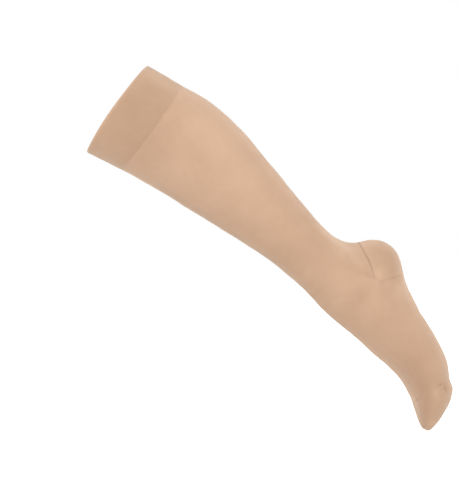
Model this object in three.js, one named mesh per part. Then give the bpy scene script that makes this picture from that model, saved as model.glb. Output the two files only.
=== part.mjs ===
// A closed-toe, knee-high compression stocking, filled out as it is when worn with the leg swung
// back and the foot pointed, but empty. It is knitted as one tube: a doubled top band, the leg and
// foot, a heel pocket let into the back of the ankle, and a reinforced toe cap. Its plain knit is
// cut into four lengths here, so that each is a simple ring with collision pieces of its own.
// Millimetres, +Z up, +X towards the calf side of the swung leg. The origin is the middle of the
// top opening, where the leg below the knee holds the stocking up.
import * as THREE from 'three';

// Driving dimensions
const SWING_BACK_DEG = 53; // the leg line, away from hanging straight down
const CLOTH = 1.2; // wall of the plain compression knit
const BAND_CLOTH = 2.2; // the band is the same knit, folded double
const PADDED_CLOTH = 1.6; // the denser knit of the heel pocket and the toe cap
const PROUD = 0.3; // how far the thicker knits stand outside the plain one
const FOLD_SHARE = 0.35; // wall left at the folded top edge, which rounds it
const HALF_SEAM_GAP = 0.17; // each piece stops this far short of a seam
const TIP_SWELL = 0.8; // how far the closed end bulges past the last course
const PITCH = 11; // the longest step from one course of points to the next
const WALES = 36; // points round every course, a multiple of four

// The stocking's measuring points, from the top edge to the tip of the toe. Each row is one
// course, as three points on the leg held upright: on its front line (shin, instep), its side
// line and its back line (calf, heel, sole). Down is below the top edge and out is behind the leg
// line. Half is half the width there. Bluntness squares the course off towards the front or the
// back. Bend is 2 where the course runs smoothly round the side, and near 1 where it turns a
// corner there, at the foot of the heel pocket.
const COLUMNS = [
  'frontDown', 'frontOut', 'sideDown', 'sideOut', 'backDown', 'backOut',
  'half', 'frontBlunt', 'backBlunt', 'bend',
];
const COURSES = {
  topEdge: [2, -57.6, 0, 1, -2, 57.8, 52, 0.02, 0.05, 2],
  bandFoot: [45.5, -50, 48, 8, 43.5, 63.6, 54.5, 0.02, 0.05, 2],
  calf: [84, -44.6, 84, 13, 80, 67.8, 55.5, 0, 0.06, 2],
  underCalf: [126, -40.6, 125, 13, 122, 64.3, 51.5, 0, 0.05, 2],
  shinMiddle: [169, -36.6, 168, 10, 167, 54.2, 44, 0, 0.02, 2],
  lowerShin: [211, -33, 210, 6, 209, 44, 37.5, 0, 0, 2],
  aboveAnkle: [243, -31.8, 243, 2.5, 242, 36.3, 33.5, 0, 0, 2],
  ankle: [265, -32.8, 267, 2, 263, 32.2, 32, 0, 0, 2],
  ankleFold: [283, -34.6, 290, 6, 279, 32.2, 32.3, 0, 0.02, 1.8],
  aboveHeel: [298, -37, 314, 12.5, 291, 35.4, 33, 0, 0.06, 1.5],
  heelTop: [311, -39.4, 336.6, 20.2, 300.5, 42.2, 33.6, 0, 0.12, 1.2],
  heelBack: [314, -39.8, 337.8, 20.5, 309.5, 52, 33.8, 0, 0.16, 1.16],
  heelRound: [317, -40.2, 339, 20.7, 320, 59, 33.9, 0.01, 0.2, 1.12],
  heelPoint: [320, -40.6, 340.2, 20.9, 331, 60.9, 34, 0.02, 0.22, 1.1],
  heelUnder: [323, -40.9, 341.3, 21, 342, 58.4, 34, 0.02, 0.22, 1.1],
  heelSole: [326.5, -41.2, 342.4, 21, 352, 52, 34, 0.03, 0.2, 1.1],
  heelFront: [330, -41.4, 343.4, 20.8, 361, 44.6, 34, 0.04, 0.2, 1.1],
  arch: [348, -42.2, 360, 6, 377, 33, 34.6, 0.05, 0.22, 1.6],
  midFoot: [367, -43, 377, -4.5, 394, 25.2, 36, 0.06, 0.26, 2],
  forefoot: [388, -45.2, 396, -11.5, 412, 18.2, 38.5, 0.08, 0.3, 2],
  ballBack: [408, -46.6, 415, -17.5, 430, 11.4, 41, 0.1, 0.3, 2],
  ball: [426, -49, 432, -23.5, 447, 3.2, 42.4, 0.14, 0.28, 2],
  toeJoint: [440, -54.3, 445, -30.5, 460, -5.8, 41.8, 0.18, 0.26, 2],
  toeLine: [454, -61.8, 456.8, -39, 472.1, -18, 39.4, 0.22, 0.26, 2],
  toes: [464, -68.6, 468, -47.5, 481.5, -26, 35.4, 0.24, 0.26, 2],
  toeTaper: [471.5, -73.8, 477, -56, 486.2, -37.5, 29.6, 0.26, 0.26, 2],
  toeEnd: [477.5, -77, 483.3, -64.4, 487.9, -49.8, 22, 0.26, 0.26, 2],
  nearTip: [481, -78, 486, -71, 488.5, -60, 14.5, 0.22, 0.22, 2],
  tip: [484, -77.4, 486.8, -73.8, 488.2, -68.4, 7, 0.1, 0.1, 2],
};
const NAMES = Object.keys(COURSES);
const TIP = NAMES.length - 1;

const value = (row, column) => COURSES[NAMES[row]][COLUMNS.indexOf(column)];

// A smooth line down the stocking, through one point of every measured course.
function lineDown(kind, width) {
  const points = NAMES.map((_, row) => new THREE.Vector3(
    value(row, `${kind}Out`),
    width ? value(row, width) : 0,
    -value(row, `${kind}Down`),
  ));
  return new THREE.CatmullRomCurve3(points, false, 'centripetal');
}
const frontLine = lineDown('front');
const sideLine = lineDown('side', 'half');
const backLine = lineDown('back');

// A column's value between two measured courses.
function between(course, column) {
  const row = Math.min(Math.floor(course), TIP - 1);
  return THREE.MathUtils.lerp(value(row, column), value(row + 1, column), course - row);
}

// A point of the cloth's outer face. Course counts down the measured rows, and the angle runs from
// the front line (0) round one side (a quarter turn) to the back line (half a turn) and home.
function clothPoint(course, angle) {
  const front = frontLine.getPoint(course / TIP);
  const side = sideLine.getPoint(course / TIP);
  const back = backLine.getPoint(course / TIP);
  const lean = Math.cos(angle);
  const turnIn = Math.abs(lean) ** between(course, 'bend');
  const along = (axis) => side[axis]
    + ((front[axis] - back[axis]) / 2) * lean
    + ((front[axis] + back[axis]) / 2 - side[axis]) * turnIn;
  const blunt = between(course, lean > 0 ? 'frontBlunt' : 'backBlunt');
  const across = side.y * Math.sin(angle) * (1 + blunt * lean ** 2);
  return new THREE.Vector3(along('x'), across, along('z'));
}

// The courses of points down the stocking, none more than a pitch from the next, and the number of
// each measured course among them.
const courses = [];
const at = {};
NAMES.forEach((name, row) => {
  at[name] = courses.length;
  courses.push(row);
  if (row === TIP) return;
  const longest = Math.max(...[frontLine, sideLine, backLine].map(
    (line) => line.getPoint(row / TIP).distanceTo(line.getPoint((row + 1) / TIP)),
  ));
  const steps = Math.ceil(longest / PITCH);
  for (let step = 1; step < steps; step += 1) courses.push(row + step / steps);
});
const LAST = courses.length - 1;

const turn = (wale) => (wale + WALES) % WALES;
const surface = courses.map((course) => Array.from(
  { length: WALES },
  (_, wale) => clothPoint(course, (wale / WALES) * 2 * Math.PI),
));
const pointAt = (row, wale) => surface[THREE.MathUtils.clamp(row, 0, LAST)][turn(wale)];

// The directions at a point of the grid: out of the cloth, squarely down from its course, and
// squarely round from its line down the leg.
function directions(row, wale) {
  const course = pointAt(row, wale + 1).clone().sub(pointAt(row, wale - 1));
  const line = pointAt(row + 1, wale).clone().sub(pointAt(row - 1, wale));
  const out = new THREE.Vector3().crossVectors(course, line).normalize();
  const down = new THREE.Vector3().crossVectors(out, course).normalize();
  const round = new THREE.Vector3().crossVectors(line, out).normalize();
  return { out, down, round };
}

// A piece of cloth: the grid cells that belong says are its own, as a closed wall that stands
// proud of the plain knit. A folded top thins at the top edge, and a piece with a tip is closed
// over the end of the toe.
function clothWall({ belongs, wall, proud = 0, foldedTop = false, tip = false }) {
  const vertices = [];
  const faces = [];
  const numbers = new Map();
  const owns = (row, wale) => row >= 0 && row < LAST && belongs(row, turn(wale));

  // Which way a point of the grid lies from the seams through it: down and round, as 1, 0 or -1.
  function fromSeams(row, wale) {
    let down = 0;
    let round = 0;
    for (const above of [0, 1]) {
      for (const before of [0, 1]) {
        const cellRow = row - above;
        if (cellRow < 0 || cellRow === LAST || owns(cellRow, wale - before)) continue;
        down += above ? 1 : -1;
        round += before ? 1 : -1;
      }
    }
    return [Math.sign(down), Math.sign(round)];
  }

  function vertex(row, wale, inner) {
    const key = `${row},${turn(wale)},${inner}`;
    if (!numbers.has(key)) {
      const { out, down, round } = directions(row, wale);
      const [below, beyond] = fromSeams(row, wale);
      const share = foldedTop && row === 0 ? FOLD_SHARE : 1;
      const height = proud - (wall / 2) * (inner ? 1 + share : 1 - share);
      numbers.set(key, vertices.length);
      vertices.push(pointAt(row, wale).clone()
        .addScaledVector(out, height)
        .addScaledVector(down, below * HALF_SEAM_GAP)
        .addScaledVector(round, beyond * HALF_SEAM_GAP));
    }
    return numbers.get(key);
  }
  const quad = (a, b, c, d) => faces.push(a, b, c, a, c, d);

  for (let row = 0; row < LAST; row += 1) {
    for (let wale = 0; wale < WALES; wale += 1) {
      if (!owns(row, wale)) continue;
      const corner = (down, round, inner) => vertex(row + down, wale + round, inner);
      const rim = (a, b) => quad(
        corner(...a, false), corner(...b, false), corner(...b, true), corner(...a, true),
      );
      quad(corner(0, 0, false), corner(0, 1, false), corner(1, 1, false), corner(1, 0, false));
      quad(corner(0, 0, true), corner(1, 0, true), corner(1, 1, true), corner(0, 1, true));
      if (!owns(row - 1, wale)) rim([0, 1], [0, 0]);
      if (!owns(row + 1, wale) && !(tip && row + 1 === LAST)) rim([1, 0], [1, 1]);
      if (!owns(row, wale - 1)) rim([0, 0], [1, 0]);
      if (!owns(row, wale + 1)) rim([1, 1], [0, 1]);
    }
  }
  if (tip) {
    const swell = pointAt(LAST, 0).clone().sub(pointAt(LAST - 1, 0)).setLength(TIP_SWELL);
    for (const inner of [false, true]) {
      const ring = surface[LAST].map((_, wale) => vertex(LAST, wale, inner));
      const hub = ring.reduce((sum, number) => sum.add(vertices[number]), new THREE.Vector3());
      vertices.push(hub.divideScalar(WALES).add(swell));
      ring.forEach((number, wale) => {
        const next = ring[turn(wale + 1)];
        faces.push(...(inner ? [next, number] : [number, next]), vertices.length - 1);
      });
    }
  }

  const geometry = new THREE.BufferGeometry().setFromPoints(vertices);
  geometry.setIndex(faces);
  geometry.computeVertexNormals();
  return geometry;
}

// The pieces, by the grid cells that are theirs
const inBackHalf = (wale) => wale >= WALES / 4 && wale < (WALES * 3) / 4;
const besideHeel = (row) => row >= at.heelTop && row < at.heelFront;
const PIECES = {
  top_band: {
    belongs: (row) => row < at.bandFoot,
    wall: BAND_CLOTH,
    proud: PROUD,
    foldedTop: true,
    colour: 0xc9a68b,
  },
  leg_upper: {
    belongs: (row) => row >= at.bandFoot && row < at.shinMiddle,
    wall: CLOTH,
    colour: 0xd4ae92,
  },
  leg_lower: {
    belongs: (row) => row >= at.shinMiddle && row < at.heelTop,
    wall: CLOTH,
    colour: 0xd2ac90,
  },
  heel_pocket: {
    belongs: (row, wale) => besideHeel(row) && inBackHalf(wale),
    wall: PADDED_CLOTH,
    proud: PROUD,
    colour: 0xd6b094,
  },
  foot_back: {
    belongs: (row, wale) => (besideHeel(row) && !inBackHalf(wale))
      || (row >= at.heelFront && row < at.forefoot),
    wall: CLOTH,
    colour: 0xcfaa8e,
  },
  foot_front: {
    belongs: (row) => row >= at.forefoot && row < at.toeLine,
    wall: CLOTH,
    colour: 0xcda88c,
  },
  toe_cap: {
    belongs: (row) => row >= at.toeLine,
    wall: PADDED_CLOTH,
    proud: PROUD,
    tip: true,
    colour: 0xd0aa8e,
  },
};

const stocking = new THREE.Group();
stocking.rotation.y = -THREE.MathUtils.degToRad(SWING_BACK_DEG);
for (const [name, piece] of Object.entries(PIECES)) {
  const knit = new THREE.MeshStandardMaterial({ color: piece.colour, roughness: 0.85, metalness: 0 });
  const mesh = new THREE.Mesh(clothWall(piece), knit);
  mesh.name = name;
  stocking.add(mesh);
}

export default stocking;
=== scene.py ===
# %% [markdown]
# # A knee-high compression stocking
# One closed-toe stocking hangs filled out, as it is when worn with the leg swung back and the foot
# pointed, and there is nobody in it. A knitting machine makes it as one tube: a doubled top band,
# the plain knit of leg and foot, a heel pocket and a toe cap of denser yarn. Here each of those is
# a piece of its own, and they meet edge to edge, as they do in the knit.

import math

import bpy
import numpy as np
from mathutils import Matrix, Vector
from mathutils.kdtree import KDTree


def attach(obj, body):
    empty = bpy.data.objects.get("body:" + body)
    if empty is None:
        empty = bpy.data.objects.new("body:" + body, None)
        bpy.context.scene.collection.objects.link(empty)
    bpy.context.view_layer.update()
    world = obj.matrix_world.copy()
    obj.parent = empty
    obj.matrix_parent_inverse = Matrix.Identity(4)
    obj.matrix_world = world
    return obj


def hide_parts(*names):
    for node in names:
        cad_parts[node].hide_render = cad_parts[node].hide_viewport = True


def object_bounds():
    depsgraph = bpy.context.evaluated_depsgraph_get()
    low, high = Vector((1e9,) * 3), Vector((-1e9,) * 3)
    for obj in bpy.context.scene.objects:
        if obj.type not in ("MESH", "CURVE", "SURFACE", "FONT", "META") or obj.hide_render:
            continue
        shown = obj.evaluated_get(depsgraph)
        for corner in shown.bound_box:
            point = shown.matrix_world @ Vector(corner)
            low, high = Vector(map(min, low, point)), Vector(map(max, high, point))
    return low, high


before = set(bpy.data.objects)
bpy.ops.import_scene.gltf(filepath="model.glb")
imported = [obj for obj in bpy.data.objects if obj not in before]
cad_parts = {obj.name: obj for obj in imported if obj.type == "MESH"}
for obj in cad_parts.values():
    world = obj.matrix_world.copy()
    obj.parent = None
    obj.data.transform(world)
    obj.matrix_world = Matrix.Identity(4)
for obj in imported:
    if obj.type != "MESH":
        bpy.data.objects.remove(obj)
cad_low, cad_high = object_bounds()
print("CAD box in mm:", [round(1000 * (high - low)) for low, high in zip(cad_low, cad_high)])

# %% [markdown]
# ## The camera
# The photograph looks squarely at the side of the leg, with a long lens. Its scale comes from the
# length of a knee-high stocking: one pixel is 1.1 mm at the middle of the leg. The distance is a
# guess at a studio's, and the lens follows from both.

# %% Camera
PHOTO_WIDTH_PX = 458
PHOTO_HEIGHT_PX = 500
METRES_PER_PX = 0.0011
SENSOR_MM = 36
CAMERA_AWAY = 2.2
PICTURE_MIDDLE = (0.12375, -0.1554)


def add_object(name, data):
    thing = bpy.data.objects.new(name, data)
    bpy.context.scene.collection.objects.link(thing)
    return thing


camera = add_object("camera", bpy.data.cameras.new("camera"))
camera.data.sensor_width = SENSOR_MM
camera.data.lens = SENSOR_MM * CAMERA_AWAY / (PHOTO_HEIGHT_PX * METRES_PER_PX)
camera.location = (PICTURE_MIDDLE[0], -CAMERA_AWAY, PICTURE_MIDDLE[1])
camera.rotation_euler = (math.radians(90), 0, 0)
bpy.context.scene.camera = camera
print("lens in mm:", round(camera.data.lens, 1), "for a picture", PHOTO_WIDTH_PX, "pixels wide")

# %% [markdown]
# ## The form of the stocking
# A stocking has no flat pattern. It is a tube, and what a maker measures are its courses: the rings
# of stitches round the leg. Each row below is one course, as its place on the front line (shin and
# instep), on the side line and on the back line (calf, heel and sole), with half its width and how
# blunt it is. The numbers are those of the CAD part, in metres, on the leg held upright. Smooth
# lines through them give any point of the cloth, so every piece, seam and stitch can ask for its
# own place and none is fitted by eye.

# %% Measured courses
COLUMNS = (
    "front_down", "front_out", "side_down", "side_out", "back_down", "back_out",
    "half", "front_blunt", "back_blunt", "bend",
)
COURSES = {
    "top_edge": (0.002, -0.0576, 0, 0.001, -0.002, 0.0578, 0.052, 0.02, 0.05, 2),
    "band_foot": (0.0455, -0.05, 0.048, 0.008, 0.0435, 0.0636, 0.0545, 0.02, 0.05, 2),
    "calf": (0.084, -0.0446, 0.084, 0.013, 0.08, 0.0678, 0.0555, 0, 0.06, 2),
    "under_calf": (0.126, -0.0406, 0.125, 0.013, 0.122, 0.0643, 0.0515, 0, 0.05, 2),
    "shin_middle": (0.169, -0.0366, 0.168, 0.01, 0.167, 0.0542, 0.044, 0, 0.02, 2),
    "lower_shin": (0.211, -0.033, 0.21, 0.006, 0.209, 0.044, 0.0375, 0, 0, 2),
    "above_ankle": (0.243, -0.0318, 0.243, 0.0025, 0.242, 0.0363, 0.0335, 0, 0, 2),
    "ankle": (0.265, -0.0328, 0.267, 0.002, 0.263, 0.0322, 0.032, 0, 0, 2),
    "ankle_fold": (0.283, -0.0346, 0.29, 0.006, 0.279, 0.0322, 0.0323, 0, 0.02, 1.8),
    "above_heel": (0.298, -0.037, 0.314, 0.0125, 0.291, 0.0354, 0.033, 0, 0.06, 1.5),
    "heel_top": (0.311, -0.0394, 0.3366, 0.0202, 0.3005, 0.0422, 0.0336, 0, 0.12, 1.2),
    "heel_back": (0.314, -0.0398, 0.3378, 0.0205, 0.3095, 0.052, 0.0338, 0, 0.16, 1.16),
    "heel_round": (0.317, -0.0402, 0.339, 0.0207, 0.32, 0.059, 0.0339, 0.01, 0.2, 1.12),
    "heel_point": (0.32, -0.0406, 0.3402, 0.0209, 0.331, 0.0609, 0.034, 0.02, 0.22, 1.1),
    "heel_under": (0.323, -0.0409, 0.3413, 0.021, 0.342, 0.0584, 0.034, 0.02, 0.22, 1.1),
    "heel_sole": (0.3265, -0.0412, 0.3424, 0.021, 0.352, 0.052, 0.034, 0.03, 0.2, 1.1),
    "heel_front": (0.33, -0.0414, 0.3434, 0.0208, 0.361, 0.0446, 0.034, 0.04, 0.2, 1.1),
    "arch": (0.348, -0.0422, 0.36, 0.006, 0.377, 0.033, 0.0346, 0.05, 0.22, 1.6),
    "mid_foot": (0.367, -0.043, 0.377, -0.0045, 0.394, 0.0252, 0.036, 0.06, 0.26, 2),
    "forefoot": (0.388, -0.0452, 0.396, -0.0115, 0.412, 0.0182, 0.0385, 0.08, 0.3, 2),
    "ball_back": (0.408, -0.0466, 0.415, -0.0175, 0.43, 0.0114, 0.041, 0.1, 0.3, 2),
    "ball": (0.426, -0.049, 0.432, -0.0235, 0.447, 0.0032, 0.0424, 0.14, 0.28, 2),
    "toe_joint": (0.44, -0.0543, 0.445, -0.0305, 0.46, -0.0058, 0.0418, 0.18, 0.26, 2),
    "toe_line": (0.454, -0.0618, 0.4568, -0.039, 0.4721, -0.018, 0.0394, 0.22, 0.26, 2),
    "toes": (0.464, -0.0686, 0.468, -0.0475, 0.4815, -0.026, 0.0354, 0.24, 0.26, 2),
    "toe_taper": (0.4715, -0.0738, 0.477, -0.056, 0.4862, -0.0375, 0.0296, 0.26, 0.26, 2),
    "toe_end": (0.4775, -0.077, 0.4833, -0.0644, 0.4879, -0.0498, 0.022, 0.26, 0.26, 2),
    "near_tip": (0.481, -0.078, 0.486, -0.071, 0.4885, -0.06, 0.0145, 0.22, 0.22, 2),
    "tip": (0.484, -0.0774, 0.4868, -0.0738, 0.4882, -0.0684, 0.007, 0.1, 0.1, 2),
}
SWING_BACK = math.radians(53)
NUMBER = {name: number for number, name in enumerate(COURSES)}
TIP = len(COURSES) - 1
MEASURED = {column: np.array([row[at] for row in COURSES.values()], float)
            for at, column in enumerate(COLUMNS)}
print(len(COURSES), "courses measured")

# %% Smooth lines down the leg
def bent_line(points):
    """A smooth line through the points, as the four numbers of each stretch's cubic.

    It is the centripetal Catmull-Rom line that the CAD part uses, so both have one surface."""
    chain = np.vstack([2 * points[0] - points[1], points, 2 * points[-1] - points[-2]])
    knots = np.sqrt(np.linalg.norm(np.diff(chain, axis=0), axis=1))
    stretches = []
    for at in range(len(points) - 1):
        p0, p1, p2, p3 = chain[at:at + 4]
        before, here, after = knots[at:at + 3]
        leave = ((p1 - p0) / before - (p2 - p0) / (before + here) + (p2 - p1) / here) * here
        arrive = ((p2 - p1) / here - (p3 - p1) / (here + after) + (p3 - p2) / after) * here
        stretches.append((p1, leave, 3 * (p2 - p1) - 2 * leave - arrive, 2 * (p1 - p2) + leave + arrive))
    return np.array(stretches)


def down_line(kind, half=False):
    across = MEASURED["half"] if half else np.zeros(TIP + 1)
    return bent_line(np.stack([MEASURED[kind + "_out"], across, -MEASURED[kind + "_down"]], axis=1))


FRONT_LINE = down_line("front")
SIDE_LINE = down_line("side", half=True)
BACK_LINE = down_line("back")


def along_line(line, course):
    stretch = np.clip(np.floor(course).astype(int), 0, TIP - 1)
    share = (course - stretch)[..., None]
    start, leave, bow, twist = (line[stretch, part] for part in range(4))
    return start + share * (leave + share * (bow + share * twist))


print("each line down the leg has", len(FRONT_LINE), "smooth stretches")

# %% The cloth's outer face
LEAST_LEAN = 1e-9
LEAST_LENGTH = 1e-12
NUDGE = 0.02


def cloth(course, angle):
    """Points of the plain knit's outer face.

    The angle runs from the front line round the far side to the back and on round the near side."""
    front, side, back = (along_line(line, course) for line in (FRONT_LINE, SIDE_LINE, BACK_LINE))
    lean = np.cos(angle)
    measured = {column: np.interp(course, np.arange(TIP + 1), MEASURED[column])
                for column in ("front_blunt", "back_blunt", "bend")}
    turn_in = np.maximum(np.abs(lean), LEAST_LEAN) ** measured["bend"]
    blunt = np.where(lean > 0, measured["front_blunt"], measured["back_blunt"])
    lean, turn_in = lean[..., None], turn_in[..., None]
    upright = side + (front - back) / 2 * lean + ((front + back) / 2 - side) * turn_in
    out, up = upright[..., 0], upright[..., 2]
    across = side[..., 1] * np.sin(angle) * (1 + blunt * np.cos(angle) ** 2)
    return np.stack([
        math.cos(SWING_BACK) * out - math.sin(SWING_BACK) * up,
        across,
        math.sin(SWING_BACK) * out + math.cos(SWING_BACK) * up,
    ], axis=-1)


def unit(vectors):
    return vectors / np.maximum(np.linalg.norm(vectors, axis=-1, keepdims=True), LEAST_LENGTH)


def slopes(course, angle):
    """How the cloth runs at each point: along its course, down its wale and straight out."""
    round_it = cloth(course, angle + NUDGE) - cloth(course, angle - NUDGE)
    upper = np.clip(course - NUDGE, 0, TIP)
    lower = np.clip(course + NUDGE, 0, TIP)
    down_it = cloth(lower, angle) - cloth(upper, angle)
    down_it = down_it / (lower - upper)[..., None]
    round_it = round_it / (2 * NUDGE)
    return round_it, down_it, unit(np.cross(round_it, down_it))


print("knee to heel in mm:", round(1000 * MEASURED["back_down"][NUMBER["heel_point"]]))

# %% [markdown]
# ## Distances on the cloth
# A hem is so many millimetres deep all the way round, wherever the cloth slopes. So each line of
# stitches down the leg gets a tape measure: how far it is from the top edge to every course. Rows
# of the meshes are then laid by real distances, close together at the edges of a piece, where the
# cloth rolls over, and wider apart where it is smooth.

# %% Tape measures
ROUND = 200
BACK_FROM = ROUND // 4
BACK_TO = 3 * ROUND // 4
TAPE_STEPS = 24

line_angles = np.arange(ROUND) / ROUND * 2 * math.pi
tape_courses = np.linspace(0, TIP, TIP * TAPE_STEPS + 1)
tape_points = cloth(*np.meshgrid(tape_courses, line_angles, indexing="ij"))
tape_steps = np.linalg.norm(np.diff(tape_points, axis=0), axis=2)
TAPE = np.vstack([np.zeros(ROUND), np.cumsum(tape_steps, axis=0)])


def tape_at(name):
    """The distance from the top edge to a measured course, on every line of stitches."""
    return TAPE[NUMBER[name] * TAPE_STEPS]


def courses_of(distances, lines):
    """The course at each distance from the top edge, on the given lines."""
    return np.stack([
        np.interp(distances[:, at], TAPE[:, line], tape_courses) for at, line in enumerate(lines)
    ], axis=1)


def girth_at(name):
    ring = cloth(np.full(ROUND, float(NUMBER[name])), line_angles)
    return float(np.linalg.norm(ring - np.roll(ring, 1, axis=0), axis=1).sum())


for name in ("band_foot", "calf", "ankle", "ball"):
    print("girth at the", name.replace("_", " "), "in mm:", round(1000 * girth_at(name)))

# %% [markdown]
# ## Small unevenness
# No knit lies dead smooth. The cloth swims a fraction of a millimetre in and out, and it lies in
# shallow creases where it has to bend: over the front and the back of the ankle, and behind the
# toes. At the toe seam it also gathers lengthwise. Cloth simulation could find such folds, but a
# stocking that is stretched to fit hardly has any, so they are listed one by one, each with its own
# size, and the far side gets some of its own. The colour also gets painted light and shade: brighter
# where the cloth stands out, darker in its dips, and painted highlights and painted shade at a list
# of places, which is most of what the photograph shows.

# %% Creases
# Each crease: the course it follows, how far below it, the angle of its middle in degrees, how far
# it reaches round on either side in degrees, its half width, its depth, and how much lower its one
# end lies than its middle
CREASES = (
    ("ankle", 0.004, 316, 34, 0.0038, 0.0003, 0.006),
    ("ankle_fold", 0.002, 36, 28, 0.0042, 0.0003, -0.004),
    ("ankle_fold", 0.011, 318, 30, 0.003, 0.00035, 0.007),
    ("above_ankle", 0.006, 196, 46, 0.0048, 0.0004, 0.008),
    ("ankle_fold", 0.013, 244, 25, 0.0045, 0.0006, 0.014),
    ("ankle", 0.013, 168, 38, 0.0036, 0.0005, -0.006),
    ("ankle_fold", 0.004, 40, 26, 0.0028, 0.0003, 0.004),
    ("toe_joint", 0.006, 214, 26, 0.0026, 0.0007, -0.003),
    ("toe_line", -0.0035, 236, 22, 0.002, 0.0005, 0.003),
    ("toe_line", 0.006, 202, 34, 0.003, 0.0004, 0.002),
    ("toe_line", -0.0012, 243, 11, 0.0016, 0.0004, -0.0006),
    ("toe_joint", 0.003, 150, 30, 0.0028, 0.0006, 0.004),
    ("ball", 0.004, 128, 22, 0.0034, 0.0003, 0.005),
    ("mid_foot", 0.008, 186, 36, 0.005, 0.0004, 0.006),
)
# Gathers run down the tube. Most are where the denser toe draws the plain knit in, and a wide full
# place lies along the sole. Each gather: the course it lies at, how far below it its middle is, its
# angle in degrees, its half length, its half width and its depth, which is negative where the cloth
# is full and stands out
GATHERS = (
    ("toe_line", 0.0055, 231, 0.0062, 0.0026, 0.0014),
    ("toe_line", 0.0045, 216, 0.0066, 0.0028, -0.0009),
    ("toe_line", 0.0065, 260, 0.0095, 0.0075, -0.0007),
    ("toe_line", 0.001, 281, 0.006, 0.0028, 0.0004),
    ("toe_line", -0.002, 322, 0.0055, 0.002, 0.0005),
    ("toe_line", 0.0065, 186, 0.0085, 0.015, -0.0011),
    ("arch", 0.0075, 184, 0.024, 0.018, -0.0013),
    ("toe_line", 0.0015, 197, 0.006, 0.0024, 0.0005),
    ("toe_line", 0.003, 128, 0.0056, 0.0022, 0.0009),
    ("toe_line", 0.0045, 112, 0.007, 0.0042, -0.0004),
    ("toe_line", -0.001, 84, 0.0052, 0.0024, 0.0005),
    ("toe_line", 0.002, 158, 0.0058, 0.0026, 0.0006),
    ("toe_line", -0.0015, 38, 0.005, 0.002, 0.0004),
    ("ball", 0.001, 282, 0.0022, 0.0014, 0.0003),
)
# How steeply the low banks on both sides of a crease rise
CREASE_BANKS = 0.6
# Each long wave of the cloth: its length, how often it goes round, its start and its height
SWIM = (
    (0.061, 2, 0.4, 0.00012),
    (0.043, 3, 2.1, 0.00009),
    (0.027, 5, 4.4, 0.00006),
    (0.0172, 7, 1.3, 0.00004),
)


def dip(away):
    """The profile of a crease between its two banks, where 1 away is its half width."""
    return (1 - CREASE_BANKS * away ** 2) * np.exp(-away ** 2)


def fade_out(away):
    """1 in the middle, and down smoothly to 0 where it is 1 away on either side."""
    return np.cos(np.clip(away, -1, 1) * math.pi / 2) ** 2


def from_place(distance, angle, course, below, middle):
    """How far round from a place each point is, in degrees, and how far below it, in metres."""
    degrees = np.degrees(angle) % 360
    line = np.interp(degrees, np.degrees(line_angles), tape_at(course), period=360)
    return (degrees - middle + 180) % 360 - 180, distance - line - below


def unevenness(distance, angle):
    """How far the cloth stands in or out at each point, in metres."""
    height = np.zeros_like(distance)
    for wave, times_round, start, size in SWIM:
        height += size * np.sin(distance / wave * 2 * math.pi + times_round * angle + start)
    for course, below, middle, reach, half_width, depth, slant in CREASES:
        turn, down = from_place(distance, angle, course, below, middle)
        share = np.clip(turn / reach, -1, 1)
        height -= depth * fade_out(share) * dip((down - slant * share) / half_width)
    for course, below, middle, half_length, half_width, depth in GATHERS:
        turn, down = from_place(distance, angle, course, below, middle)
        around = turn / 360 * girth_at(course) / half_width
        height -= depth * fade_out(down / half_length) * dip(around)
    return height


print(len(CREASES), "creases, the deepest", max(crease[5] for crease in CREASES) * 1000, "mm, and",
      len(GATHERS), "gathers")
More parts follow.
